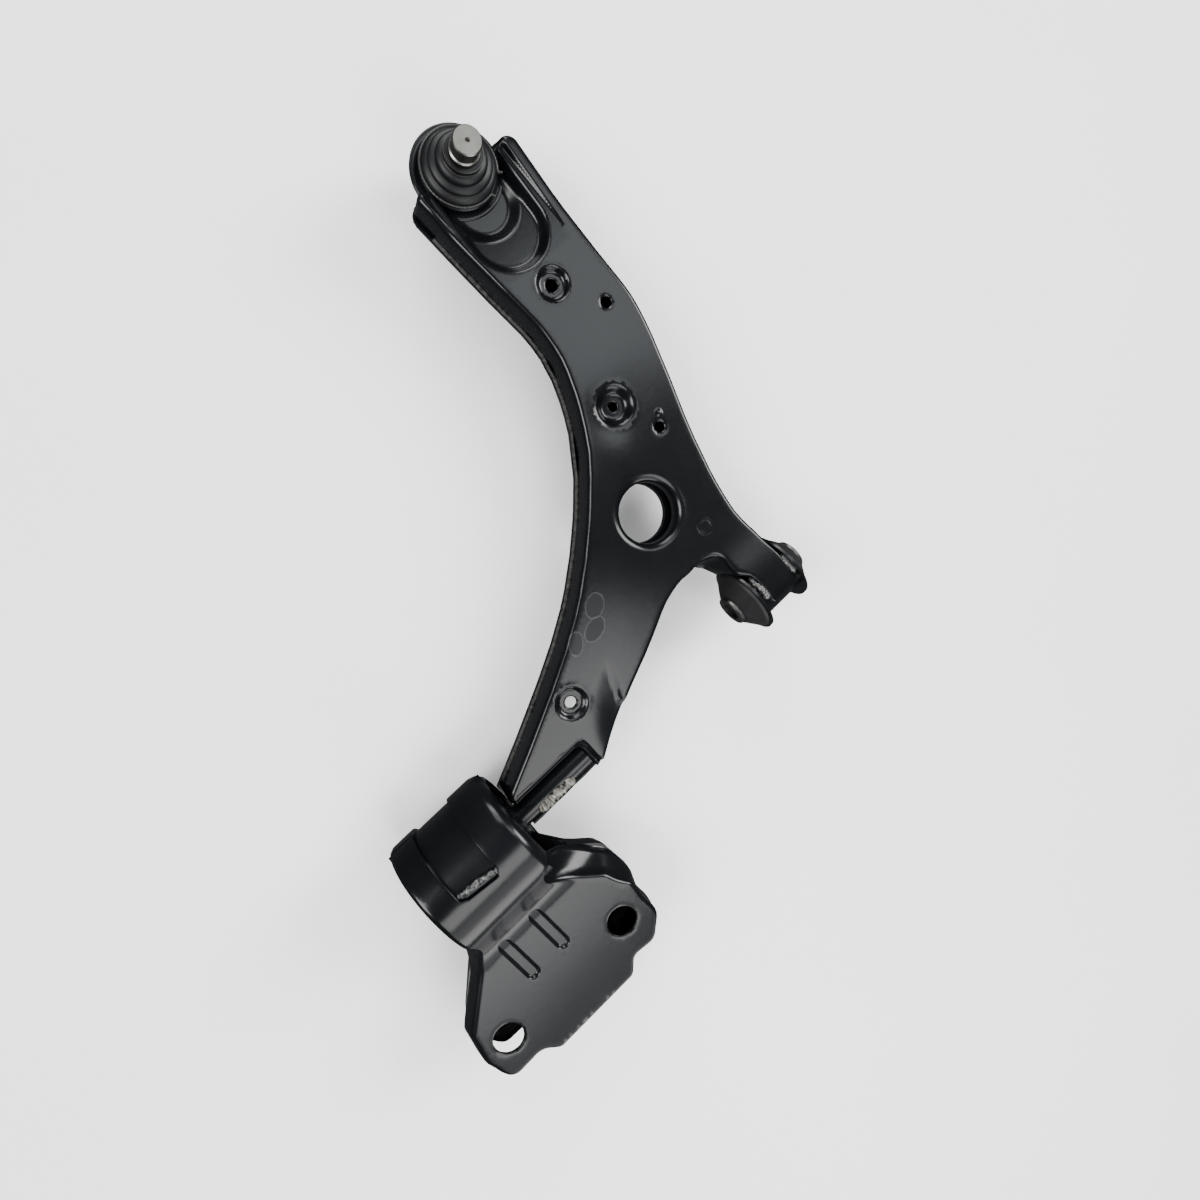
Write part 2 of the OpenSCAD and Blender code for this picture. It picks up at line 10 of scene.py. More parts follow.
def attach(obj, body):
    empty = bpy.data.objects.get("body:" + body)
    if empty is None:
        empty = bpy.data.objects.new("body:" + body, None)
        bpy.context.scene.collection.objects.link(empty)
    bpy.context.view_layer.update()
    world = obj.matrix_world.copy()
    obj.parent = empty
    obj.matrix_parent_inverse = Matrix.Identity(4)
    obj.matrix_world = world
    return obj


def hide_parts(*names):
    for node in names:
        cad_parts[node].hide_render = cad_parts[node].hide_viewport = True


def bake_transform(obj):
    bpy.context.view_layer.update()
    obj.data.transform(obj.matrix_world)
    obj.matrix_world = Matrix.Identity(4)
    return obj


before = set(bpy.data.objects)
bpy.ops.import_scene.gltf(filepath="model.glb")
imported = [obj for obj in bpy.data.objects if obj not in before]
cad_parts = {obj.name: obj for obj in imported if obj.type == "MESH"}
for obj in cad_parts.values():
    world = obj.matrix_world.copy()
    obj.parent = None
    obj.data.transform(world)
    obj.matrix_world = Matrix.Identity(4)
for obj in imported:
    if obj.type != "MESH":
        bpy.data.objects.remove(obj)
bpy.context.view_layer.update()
MM = 0.001
TURN_RADIANS = 6.283
RINGS_PER_METRE = 1500.0    # tool marks on turned steel

# ---------------------------------------------------------------- materials


def node_material(name):
    m = bpy.data.materials.new(name)
    m.use_nodes = True
    nt = m.node_tree
    return m, nt, nt.nodes["Principled BSDF"]


def put(nt, kind, **values):
    n = nt.nodes.new(kind)
    for k, v in values.items():
        if k in n.inputs:
            n.inputs[k].default_value = v
        else:
            setattr(n, k, v)
    return n


def noise_of(nt, scale, detail=3.0, rough=0.5):
    coords = nt.nodes.new("ShaderNodeTexCoord").outputs["Object"]
    n = put(nt, "ShaderNodeTexNoise", Scale=scale, Detail=detail, Roughness=rough)
    nt.links.new(coords, n.inputs["Vector"])
    return n.outputs["Fac"]


def ramp(nt, source, stops):
    r = nt.nodes.new("ShaderNodeValToRGB")
    e = r.color_ramp.elements
    while len(e) < len(stops):
        e.new(0.5)
    for i, (p, c) in enumerate(stops):
        e[i].position = p
        e[i].color = (*c, 1.0)
    nt.links.new(source, r.inputs["Fac"])
    return r.outputs["Color"]


def grey(v):
    return (v, v, v)


def span(nt, source, low, high):
    m = put(nt, "ShaderNodeMapRange")
    m.inputs["To Min"].default_value = low
    m.inputs["To Max"].default_value = high
    nt.links.new(source, m.inputs["Value"])
    return m.outputs["Result"]


def bump(nt, bsdf, heights):
    """heights: list of (output, strength, distance in metres)."""
    last = None
    for out, strength, dist in heights:
        b = put(nt, "ShaderNodeBump", Strength=strength, Distance=dist)
        nt.links.new(out, b.inputs["Height"])
        if last:
            nt.links.new(last, b.inputs["Normal"])
        last = b.outputs["Normal"]
    nt.links.new(last, bsdf.inputs["Normal"])


def stain(nt, colour, gloss, cx, cy, rx, ry, turn):
    """A faint oval stain in the paint: duller inside, with a pale tide line. Millimetres and degrees."""
    tc = nt.nodes.new("ShaderNodeTexCoord")
    mp = nt.nodes.new("ShaderNodeMapping")
    mp.vector_type = "TEXTURE"
    mp.inputs["Location"].default_value = (cx * MM, cy * MM, 0)
    mp.inputs["Rotation"].default_value = (0, 0, math.radians(turn))
    mp.inputs["Scale"].default_value = (2 * rx * MM, 2 * ry * MM, 1)
    nt.links.new(tc.outputs["Object"], mp.inputs["Vector"])
    flat = put(nt, "ShaderNodeVectorMath", operation="MULTIPLY")
    nt.links.new(mp.outputs["Vector"], flat.inputs[0])
    flat.inputs[1].default_value = (1, 1, 0)
    ln = put(nt, "ShaderNodeVectorMath", operation="LENGTH")
    nt.links.new(flat.outputs[0], ln.inputs[0])
    wob = put(nt, "ShaderNodeMath", operation="MULTIPLY_ADD")
    nt.links.new(noise_of(nt, 220.0, 3.0), wob.inputs[0])
    wob.inputs[1].default_value = 0.18
    nt.links.new(ln.outputs["Value"], wob.inputs[2])
    inside_ = ramp(nt, wob.outputs[0], [(0.0, grey(1.0)), (0.575, grey(1.0)), (0.605, grey(0.0))])
    line = ramp(nt, wob.outputs[0], [(0.57, grey(0.0)), (0.60, grey(1.0)), (0.64, grey(0.0))])
    mix = put(nt, "ShaderNodeMix", data_type="RGBA")
    nt.links.new(line, mix.inputs[0])
    nt.links.new(colour, mix.inputs[6])
    mix.inputs[7].default_value = (*grey(0.035), 1.0)
    add = put(nt, "ShaderNodeMath", operation="MULTIPLY_ADD")
    nt.links.new(inside_, add.inputs[0])
    add.inputs[1].default_value = 0.12
    nt.links.new(gloss, add.inputs[2])
    return mix.outputs[2], add.outputs[0]


def painted(name, dark=(0.0015, 0.0018, 0.0023), light=(0.0036, 0.0041, 0.0050),
            rough=(0.17, 0.24), patches=()):
    """Satin black paint. patches are stains, as stain() takes them."""
    grain = 0.35
    m, nt, p = node_material(name)
    cloud = noise_of(nt, 14.0, 5.0, 0.6)
    fine = noise_of(nt, 900.0, 2.0)
    peel = noise_of(nt, 240.0, 3.0)
    colour = ramp(nt, cloud, [(0.3, dark), (0.72, light)])
    gloss = span(nt, cloud, rough[0], rough[1])
    for cx, cy, rx, ry, turn in patches:
        colour, gloss = stain(nt, colour, gloss, cx, cy, rx, ry, turn)
    nt.links.new(colour, p.inputs["Base Color"])
    nt.links.new(gloss, p.inputs["Roughness"])
    p.inputs["Specular IOR Level"].default_value = 0.26
    bump(nt, p, [(peel, grain * 0.5, 0.0002), (fine, grain * 0.4, 0.00006)])
    return m


def rubber(name, base=(0.005, 0.005, 0.0055), high=(0.011, 0.011, 0.012), rough=(0.45, 0.62)):
    m, nt, p = node_material(name)
    cloud = noise_of(nt, 60.0, 5.0, 0.65)
    grain = noise_of(nt, 1400.0, 2.0)
    nt.links.new(ramp(nt, cloud, [(0.3, base), (0.75, high)]), p.inputs["Base Color"])
    nt.links.new(span(nt, cloud, rough[0], rough[1]), p.inputs["Roughness"])
    p.inputs["Specular IOR Level"].default_value = 0.24
    bump(nt, p, [(cloud, 0.15, 0.0004), (grain, 0.3, 0.00005)])
    return m


def steel(name, centre, axis, base, rough):
    """Turned steel: rings round an axis through centre (metres). axis 0 is X, 2 is Z."""
    m, nt, p = node_material(name)
    tc = nt.nodes.new("ShaderNodeTexCoord")
    mp = nt.nodes.new("ShaderNodeMapping")
    mp.inputs["Location"].default_value = [-c for c in centre]
    nt.links.new(tc.outputs["Object"], mp.inputs["Vector"])
    sep = nt.nodes.new("ShaderNodeSeparateXYZ")
    nt.links.new(mp.outputs["Vector"], sep.inputs[0])
    a, b = [sep.outputs[i] for i in range(3) if i != axis]
    com = nt.nodes.new("ShaderNodeCombineXYZ")
    nt.links.new(a, com.inputs[0])
    nt.links.new(b, com.inputs[1])
    ln = put(nt, "ShaderNodeVectorMath", operation="LENGTH")
    nt.links.new(com.outputs[0], ln.inputs[0])
    add = put(nt, "ShaderNodeMath", operation="ADD")
    nt.links.new(ln.outputs["Value"], add.inputs[0])
    nt.links.new(sep.outputs[axis], add.inputs[1])
    ring = put(nt, "ShaderNodeMath", operation="MULTIPLY")
    ring.inputs[1].default_value = RINGS_PER_METRE * TURN_RADIANS
    nt.links.new(add.outputs[0], ring.inputs[0])
    sine = put(nt, "ShaderNodeMath", operation="SINE")
    nt.links.new(ring.outputs[0], sine.inputs[0])
    cloud = noise_of(nt, 90.0, 5.0, 0.65)
    spots = noise_of(nt, 420.0, 3.0, 0.6)
    tint = tuple(0.72 * c for c in base)
    nt.links.new(ramp(nt, cloud, [(0.25, tint), (0.7, base)]), p.inputs["Base Color"])
    nt.links.new(span(nt, spots, rough[0], rough[1]), p.inputs["Roughness"])
    p.inputs["Metallic"].default_value = 1.0
    bump(nt, p, [(sine.outputs[0], 0.25, 0.00003), (spots, 0.2, 0.00008)])
    return m


def weld_metal(name, dark=(0.012, 0.012, 0.013), light=(0.05, 0.05, 0.05)):
    m, nt, p = node_material(name)
    cloud = noise_of(nt, 320.0, 4.0, 0.7)
    fine = noise_of(nt, 1800.0, 3.0, 0.7)
    nt.links.new(ramp(nt, cloud, [(0.35, dark), (0.7, light)]), p.inputs["Base Color"])
    nt.links.new(span(nt, fine, 0.25, 0.5), p.inputs["Roughness"])
    p.inputs["Metallic"].default_value = 0.15
    p.inputs["Coat Weight"].default_value = 0.4
    bump(nt, p, [(cloud, 0.6, 0.0005), (fine, 0.4, 0.0001)])
    return m


def plastic(name, base=(0.62, 0.61, 0.57)):
    m, nt, p = node_material(name)
    cloud = noise_of(nt, 200.0, 4.0)
    shade = tuple(0.85 * c for c in base)
    nt.links.new(ramp(nt, cloud, [(0.3, shade), (0.7, base)]), p.inputs["Base Color"])
    nt.links.new(span(nt, cloud, 0.4, 0.55), p.inputs["Roughness"])
    bump(nt, p, [(cloud, 0.1, 0.0001)])
    return m


PAINT = painted("paint_satin")
PAINT_ARM = painted("paint_arm", patches=[
    (-114.6, 81.8, 9, 6.5, 35), (-125.4, 69.0, 9.5, 6, 20), (-142.0, 70.5, 8, 5, 50),
])
PAINT_UNDER = painted("paint_under", rough=(0.22, 0.34))
PAINT_TUBE = painted("paint_tube", rough=(0.2, 0.3))
RUBBER = rubber("bush_rubber")
BOOT = rubber("boot_rubber",
              base=(0.002, 0.0022, 0.0026), high=(0.0045, 0.005, 0.0056), rough=(0.36, 0.5))
WELD = weld_metal("weld_painted", light=(0.11, 0.11, 0.105))
WELD_DARK = weld_metal("weld_dark", light=(0.035, 0.035, 0.036))
# Pin weld: its pale colour is a painted highlight for the bright bead that sits on top of the rear pin.
WELD_PAINTED_HIGHLIGHT = weld_metal("weld_painted_highlight", dark=(0.035, 0.032, 0.028), light=(0.24, 0.225, 0.195))
LINER = plastic("liner_plastic")
BJ = (-1.0, 351.0)
BJ_AXIS = (BJ[0] * MM, BJ[1] * MM, 0)
STEEL_STUD = steel("steel_stud", BJ_AXIS, 2, base=(0.20, 0.195, 0.18), rough=(0.26, 0.42))
STEEL_DARK = steel("steel_dark", (0, 0, 0), 0, base=(0.10, 0.10, 0.095), rough=(0.3, 0.45))
WIRE = steel("wire", BJ_AXIS, 2, base=(0.055, 0.055, 0.055), rough=(0.35, 0.5))

# ---------------------------------------------------------------- geometry helpers


def mesh_object(name, verts, faces, material, body, smooth=True):
    """New mesh in metres. body may be None where the piece rides later."""
    me = bpy.data.meshes.new(name)
    me.from_pydata([tuple(v) for v in verts], [], [tuple(f) for f in faces])
    me.validate()
    me.update()
    if smooth:
        me.polygons.foreach_set("use_smooth", [True] * len(me.polygons))
    o = bpy.data.objects.new(name, me)
    bpy.context.scene.collection.objects.link(o)
    me.materials.append(material)
    if body:
        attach(o, body)
    return o


def unit(v):
    return v / np.linalg.norm(v)


def rounded(keys, step=10.0):
    """Closed outline from [x, y, radius] corners, with the corners rounded as far as the sides allow."""
    out = []
    n = len(keys)
    for i in range(n):
        a, b, c = (np.array(keys[(i + k) % n][:2], float) for k in (-1, 0, 1))
        r = keys[i][2]
        u, v = unit(a - b), unit(c - b)
        ang = math.acos(max(-1, min(1, float(u @ v))))
        if ang > math.radians(178) or r <= 0:
            out.append(b)
            continue
        half = ang / 2
        t = min(r / math.tan(half), 0.46 * np.linalg.norm(a - b), 0.46 * np.linalg.norm(c - b))
        re = t * math.tan(half)
        m = b + unit(u + v) * (re / math.sin(half))
        s, e = b + u * t - m, b + v * t - m
        a0 = math.atan2(s[1], s[0])
        da = (math.atan2(e[1], e[0]) - a0 + math.pi) % (2 * math.pi) - math.pi
        k = max(1, math.ceil(abs(math.degrees(da)) / step))
        for j in range(k + 1):
            a = a0 + da * j / k
            out.append(m + re * np.array([math.cos(a), math.sin(a)]))
    return np.array(out)


def resample(p, gap):
    """Closed outline with its long sides split, and no two points closer than a fifth of gap."""
    out = []
    for i in range(len(p)):
        a, b = p[i], p[(i + 1) % len(p)]
        d = np.linalg.norm(b - a)
        if d < 0.2 * gap and out:
            continue
        k = max(1, int(round(d / gap)))
        out += [a + (b - a) * j / k for j in range(k)]
    return np.array(out)


def inset(p, d):
    """p moved inwards by d (a number, or one for each point). p runs counterclockwise."""
    e1 = p - np.roll(p, 1, 0)
    e2 = np.roll(p, -1, 0) - p
    e1 /= np.linalg.norm(e1, axis=1)[:, None]
    e2 /= np.linalg.norm(e2, axis=1)[:, None]
    n1 = np.stack([-e1[:, 1], e1[:, 0]], 1)
    n2 = np.stack([-e2[:, 1], e2[:, 0]], 1)
    k = np.maximum(1 + (n1 * n2).sum(1), 0.35)
    return p + np.asarray(d).reshape(-1, 1) * (n1 + n2) / k[:, None]


def inside(p, loop):
    x, y = p[:, 0], p[:, 1]
    hit = np.zeros(len(p), bool)
    for i in range(len(loop)):
        (x0, y0), (x1, y1) = loop[i], loop[(i + 1) % len(loop)]
        if y0 == y1:
            continue
        k = ((y0 > y) != (y1 > y)) & (x < (x1 - x0) * (y - y0) / (y1 - y0) + x0)
        hit ^= k
    return hit


def near(p, loop, d):
    """True where a point of p is closer than d to the loop's points."""
    out = np.zeros(len(p), bool)
    for q in loop:
        out |= ((p - q) ** 2).sum(1) < d * d
    return out


def circle(x, y, r, n):
    a = np.arange(n) * 2 * math.pi / n
    return np.stack([x + r * np.cos(a), y + r * np.sin(a)], 1)


def hexgrid(lo, hi, gap):
    xs = np.arange(lo[0], hi[0], gap)
    ys = np.arange(lo[1], hi[1], gap * 0.866)
    g = np.array([(x + (0.5 * gap if j % 2 else 0), y) for j, y in enumerate(ys) for x in xs])
    return g


def fill(outer, holes, rings, gap, zones=()):
    """Triangles between the outer loop and the holes.

    rings are closed loops that the mesh also follows. zones are (x, y, radius, gap) with a finer grid."""
    loops = [outer] + list(holes) + list(rings)
    pts = [hexgrid(outer.min(0), outer.max(0), gap)]
    for x, y, r, g in zones:
        pts = [q[((q - (x, y)) ** 2).sum(1) > r * r] for q in pts]
        q = hexgrid((x - r, y - r), (x + r, y + r), g)
        pts.append(q[((q - (x, y)) ** 2).sum(1) < (r - 0.5 * g) ** 2])
    g = np.concatenate(pts)
    g = g[inside(g, outer)]
    for h in holes:
        g = g[~inside(g, h)]
    for lp in loops:
        side = np.linalg.norm(np.roll(lp, -1, 0) - lp, axis=1).mean()
        g = g[~near(g, lp, 0.75 * min(side, gap))]
    coords, edges = [], []
    for lp in loops:
        b = len(coords)
        coords += [tuple(q) for q in lp]
        edges += [(b + i, b + (i + 1) % len(lp)) for i in range(len(lp))]
    coords += [tuple(q) for q in g]
    v, _, f, *_ = delaunay_2d_cdt([Vector(c) for c in coords], edges, [], 0, 1e-5)
    v = np.array([(q[0], q[1]) for q in v])
    f = np.array([t for t in f if len(t) == 3])
    c = v[f].mean(1)
    keep = inside(c, outer)
    for h in holes:
        keep &= ~inside(c, h)
    f = f[keep]
    a, b, d = v[f[:, 0]], v[f[:, 1]], v[f[:, 2]]
    turn = (b - a)[:, 0] * (d - a)[:, 1] - (b - a)[:, 1] * (d - a)[:, 0]
    f[turn < 0] = f[turn < 0][:, ::-1]
    return v, f


def strip(n, a, b):
    """Quads between closed rings a and b of n points each, given their first indices."""
    return [(a + i, a + (i + 1) % n, b + (i + 1) % n, b + i) for i in range(n)]


def lathe(name, profile, centre, material, body, n=96):
    """Closed solid turned round Z. profile is [(radius, height)] in mm, from axis to axis or a closed ring."""
    verts, faces = [], []
    k = len(profile)
    for r, h in profile:
        for j in range(n):
            a = 2 * math.pi * j / n
            c, s = r * math.cos(a), r * math.sin(a)
            verts.append([(v + o) * MM for v, o in zip((c, s, h), centre)])
    closed = profile[0][0] > 1e-6 and profile[-1][0] > 1e-6
    for i in range(k if closed else k - 1):
        faces += [f[::-1] for f in strip(n, i * n, ((i + 1) % k) * n)]
    o = mesh_object(name, verts, faces, material, None)
    me = o.data
    bm = bmesh.new()
    bm.from_mesh(me)
    bmesh.ops.remove_doubles(bm, verts=bm.verts, dist=1e-7)
    bmesh.ops.recalc_face_normals(bm, faces=bm.faces)
    bm.to_mesh(me)
    bm.free()
    me.polygons.foreach_set("use_smooth", [True] * len(me.polygons))
    if body:
        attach(o, body)
    return o


def soften(profile, r=0.5, n=3):
    """Rounds the corners of an open section by r."""
    out = [profile[0]]
    for i in range(1, len(profile) - 1):
        a, b, c = (np.array(profile[j], float) for j in (i - 1, i, i + 1))
        la, lc = np.linalg.norm(a - b), np.linalg.norm(c - b)
        if la < 1e-6 or lc < 1e-6:
            continue
        u, v = (a - b) / la, (c - b) / lc
        if u @ v < -0.985:
            out.append(tuple(b))
            continue
        t = min(r, 0.4 * la, 0.4 * lc)
        s, e = b + u * t, b + v * t
        for j in range(n + 1):
            w = j / n
            out.append(tuple((1 - w) ** 2 * s + 2 * w * (1 - w) * b + w * w * e))
    out.append(profile[-1])
    return out


def sstep(a, b, x):
    t = np.clip((x - a) / (b - a), 0, 1)
    return t * t * (3 - 2 * t)


def solid(o, thickness):
    """Gives a sheet its thickness, on the inner side of the faces drawn."""
    m = o.modifiers.new("sheet", "SOLIDIFY")
    m.thickness = thickness * MM
    m.offset = -1.0
    m.use_even_offset = False
    m.use_rim = True


def bevel_cad(name, width):
    """Rounds the sharp edges of a CAD node, width in mm."""
    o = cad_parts[name]
    m = o.modifiers.new("edge", "BEVEL")
    m.width = width * MM
    m.segments = 2
    m.limit_method = "ANGLE"
    m.angle_limit = math.radians(40)


def paint_cad(name, material):
    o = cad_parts[name]
    o.data.materials.clear()
    o.data.materials.append(material)


def worm(name, path, radius, material, body, wobble, seed=0, n=14, ripple=2.4):
    """A weld bead: a rough tube with ripples along a path (mm)."""
    path = np.array(path, float)
    seg = np.linalg.norm(np.diff(path, axis=0), axis=1)
    s = np.concatenate([[0], np.cumsum(seg)])
    m = max(6, int(s[-1] / 0.45))
    t = np.linspace(0, s[-1], m)
    c = np.stack([np.interp(t, s, path[:, i]) for i in range(3)], 1)
    d = np.gradient(c, axis=0)
    d /= np.linalg.norm(d, axis=1)[:, None]
    up = np.array([0.13, 0.21, 0.97])
    verts, faces = [], []
    for k in range(m):
        a = unit(np.cross(d[k], up))
        b = np.cross(a, d[k])
        end = min(1.0, math.sqrt(max(0.02, min(t[k], s[-1] - t[k]) / radius)))
        for j in range(n):
            ang = 2 * math.pi * j / n
            q = c[k]
            at = (q[0] * 0.55 + seed, q[1] * 0.55 + math.cos(ang), q[2] * 0.55 + math.sin(ang))
            w = noise.noise(Vector(at))
            r = radius * end * (1 + wobble * w + 0.07 * math.sin(2 * math.pi * t[k] / ripple))
            verts.append((q + r * (a * math.cos(ang) + b * math.sin(ang))) * MM)
    for k in range(m - 1):
        faces += strip(n, k * n, (k + 1) * n)
    for k, flip in ((0, True), (m - 1, False)):
        f = [k * n + j for j in range(n)]
        faces.append(f[::-1] if flip else f)
    return mesh_object(name, verts, faces, material, body)


# ---------------------------------------------------------------- arm, upper shell

RB = -291.0     # centre of the rear bush on the X axis
ZT = 16.0       # height of the flat plates
Z_SPLIT = -11.0     # where the upper pressing ends on the lower one
TUBE_R = 21.0   # outer radius of the front tube
SHEET = 2.8     # thickness of the visible pressings
EDGE_GAP = 2.6  # spacing of the points along an outline
NECK = RB + 44
TROUGH = RB + 105
ARM_KEYS = [
    (TROUGH - 0.5, -9.6, 0), (TROUGH + 6, -7.5, 20), (TROUGH + 20, 1, 60),
    (-134, 17, 200), (-102, 31, 200), (-72, 47, 60), (-54, 51, 24), (-38, 48, 16),
    (-27.5, 38.5, 14), (-21, 25, 10), (-12.5, 18.5, 4), (-11, 14, 1.0),
    (-11, -9.5, 1.5), (16, -9.5, 1.5), (16, 14, 1.0), (14, 40, 60),
    (11, 62, 80), (14, 92, 120), (21, 130, 200), (31, 166, 200), (40, 202, 120), (43.5, 226, 80),
    (41, 262, 120), (39, 300, 200), (39.5, 349, 7.5), (24, 350, 1.5),
]
for k in range(9):
    ang = math.radians(-8 - 164 * k / 8)
    ARM_KEYS.append((BJ[0] + 22.6 * math.cos(ang), BJ[1] + 22.6 * math.sin(ang), 12))
ARM_KEYS += [
    (-26, 350.5, 1.5), (-38.5, 352, 7.5),
    (-34, 312, 120), (-30, 280, 120), (-25, 246, 60), (-26, 222, 60), (-35, 195, 80),
    (-50, 164, 120), (-78, 132, 120), (-108, 103, 200), (-140, 79, 200), (-177, 58, 200),
    (-215, 38, 200), (NECK, 22, 2.5), (NECK, 9.4, 0), (TROUGH - 0.5, 9.4, 0),
]
TOOL = (-42.0, 104.0)
# x, y, outer and inner radius of the dish, radius of the hole, depth
DIMPLES = [(1, 262, 11.6, 8.3, 4.4, 4.0), (-15, 176, 14.5, 7.6, 3.6, 5.5), (-171, 41, 12.0, 8.6, 4.4, 3.0)]
# x, y and radius of the small holes
SMALL = [(24, 232, 3.9), (2, 145, 3.9)]


def y0_edge(x):
    """Lower right edge of the arm between the neck and the front bush."""
    return np.interp(x, [-186, -166, -134, -102, -72], [-9, 1, 17, 31, 47])


def stadium(x, y, y0, w):
    dx = x - BJ[0]
    return w - np.where(y > y0, np.abs(dx), np.hypot(dx, y - y0))


def ramp_in(d, width):
    """0 to 1 over width, straight with softened ends."""
    t = np.clip(d / width, 0, 1)
    e = 0.16
    a = t * t / (2 * e * (1 - e))
    b = (t - e / 2) / (1 - e)
    c = 1 - (1 - t) ** 2 / (2 * e * (1 - e))
    return np.where(t < e, a, np.where(t > 1 - e, c, b))


def arm_height(p):
    x, y = p[:, 0], p[:, 1]
    z = np.full(len(p), ZT)
    # broad pressing marks
    z -= 0.9 * np.exp(-(((x + 20) / 42) ** 2 + ((y - 92) / 30) ** 2))
    z += 0.5 * np.exp(-(((x + 5) / 26) ** 2 + ((y - 205) / 26) ** 2))
    # a soft facet that falls to the lower right edge, ended by a crease
    across = (x + 143.4) * 0.949 - (y - 15.6) * 0.314
    facet = np.clip((y0_edge(x) + 30 - y) / 30, 0, 1) ** 1.25
    z -= 4.4 * facet * sstep(-182, -150, x) * sstep(2.2, -2.2, across)
    z -= 0.3 * facet * sstep(-2.2, 2.2, across) * sstep(-70, -105, x)
    # pocket between the rails
    dx = np.abs(x - BJ[0])
    floor = ZT - 0.055 * np.maximum(0, y - 277)
    floor = floor + (8.5 - 0.07 * np.maximum(0, y - 285) - floor) * sstep(-1.8, 4.4, stadium(x, y, 305, 26.0))
    floor = floor + (2.2 - floor) * ramp_in(stadium(x, y, 326, 24.6), 8.5)
    wall = 3 + 13 * (dx - 24.3) / 8.2
    soft = 0.8
    apart = np.abs(wall - floor)
    pocket = np.maximum(wall, floor)
    pocket = np.where(apart < soft, pocket + (soft - apart) ** 2 / (4 * soft), pocket)
    z = np.where(y > 277, np.minimum(z, pocket), z)
    # trough for the pin
    s = np.clip((17.5 - y) / 8.0, 0, 1)
    t = ZT - 14.0 * (0.5 * s + 0.5 * s * s * (3 - 2 * s))
    w = sstep(-181, -187.5, x)
    z = np.where(y < 60, z + (np.minimum(z, t) - z) * w, z)
    # the plate climbs to pass over the front tube
    t = np.clip(y / 58, 0, 1)
    climb = 8 * (1 - t) ** 2 * (1 + 2 * t)
    over = np.where(y > 0, ZT + climb, np.sqrt(np.maximum(0, 24.0 ** 2 - y ** 2)))
    z = z + (over - z) * np.where((x > -45) & (x < 30) & (y < 58), sstep(-40, -13, x), 0)
    for cx, cy, r_out, r_in, _, depth in DIMPLES:
        r = np.hypot(x - cx, y - cy)
        z -= depth * (1 - sstep(r_in, r_out, r)) - 0.25 * np.exp(-((r - r_out - 0.6) / 1.2) ** 2)
    # shallow hollow beside the middle dimple
    z -= 1.1 * np.exp(-(((x + 26) / 11) ** 2 + ((y - 172) / 15) ** 2))
    for cx, cy, r0 in SMALL:
        r = np.hypot(x - cx, y - cy)
        z -= 0.5 * (1 - sstep(r0, r0 + 1.8, r))
    # small raised point and a faint ring mark
    r = np.hypot(x - 7.5, y - 153)
    z += 0.8 * (1 - sstep(0.8, 3.2, r))
    r = np.hypot(x + 15, y - 69)
    z -= 0.25 * np.exp(-((r - 5.4) / 0.8) ** 2)
    return z


def arm_foot(p, h):
    """Height at which the wall below each outline point ends."""
    x, y = p[:, 0], p[:, 1]
    foot = np.full(len(p), Z_SPLIT)
    tube = np.sqrt(np.maximum(0, TUBE_R ** 2 - y ** 2)) + 0.1
    foot = np.where((y < 21) & (x > -14) & (x < 19), tube, foot)
    pin = (y < 9.8) & (x < TROUGH + 1)
    foot = np.where(pin, h - 2.6, foot)
    seat = (np.hypot(x - BJ[0], y - BJ[1]) < 23.5) & (y < 349)
    foot = np.where(seat, h - 2.2, foot)
    return np.minimum(foot, h - 1.2)


def stamped(name, outline, gap, holes, rings, height, foot, bend, lean, zones, lips, body, material):
    """A pressed sheet: filled plate, a bend down along the outline, and turned-down lips round its holes.

    bend is the reach of the bend and lean the outward slant of the wall, at each outline point.
    lips gives, for a hole's index, the [(radius, height)] that its edge follows."""
    base = inset(outline, bend + lean)
    hole_loops = [circle(cx, cy, r, n) for cx, cy, r, n in holes]
    ring_loops = [circle(cx, cy, r, n) for cx, cy, r, n in rings]
    v, f = fill(base, hole_loops, ring_loops, gap, zones)
    verts = [np.column_stack([v, height(v)])]
    faces = [tuple(t) for t in f]
    count = len(v)
    n = len(base)
    h = height(base)
    ft = foot(outline, h)
    prev = 0
    # the depth the bend may take where the wall below is short
    depth = np.minimum(bend, 0.85 * (h - ft))
    for k in range(1, 7):
        a = math.radians(15 * k)
        pts = inset(outline, lean + bend * (1 - math.sin(a)))
        verts.append(np.column_stack([pts, h - depth * (1 - math.cos(a))]))
        faces += [q[::-1] for q in strip(n, prev, count)]
        prev = count
        count += n
    top = h - depth
    for k in range(1, 4):
        pts = inset(outline, lean * (1 - k / 3))
        verts.append(np.column_stack([pts, top + (ft - top) * k / 3]))
        faces += [q[::-1] for q in strip(n, prev, count)]
        prev = count
        count += n
    start = n
    for i, lp in enumerate(hole_loops):
        m = len(lp)
        prev = start
        start += m
        if i not in lips:
            continue
        cx, cy, r0, _ = holes[i]
        for r, z in lips[i]:
            verts.append(np.column_stack([circle(cx, cy, r, m), np.full(m, z)]))
            faces += strip(m, prev, count)
            prev = count
            count += m
    allv = np.concatenate(verts) * MM
    o = mesh_object(name, allv, faces, material, None)
    solid(o, SHEET)
    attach(o, body)
    return o


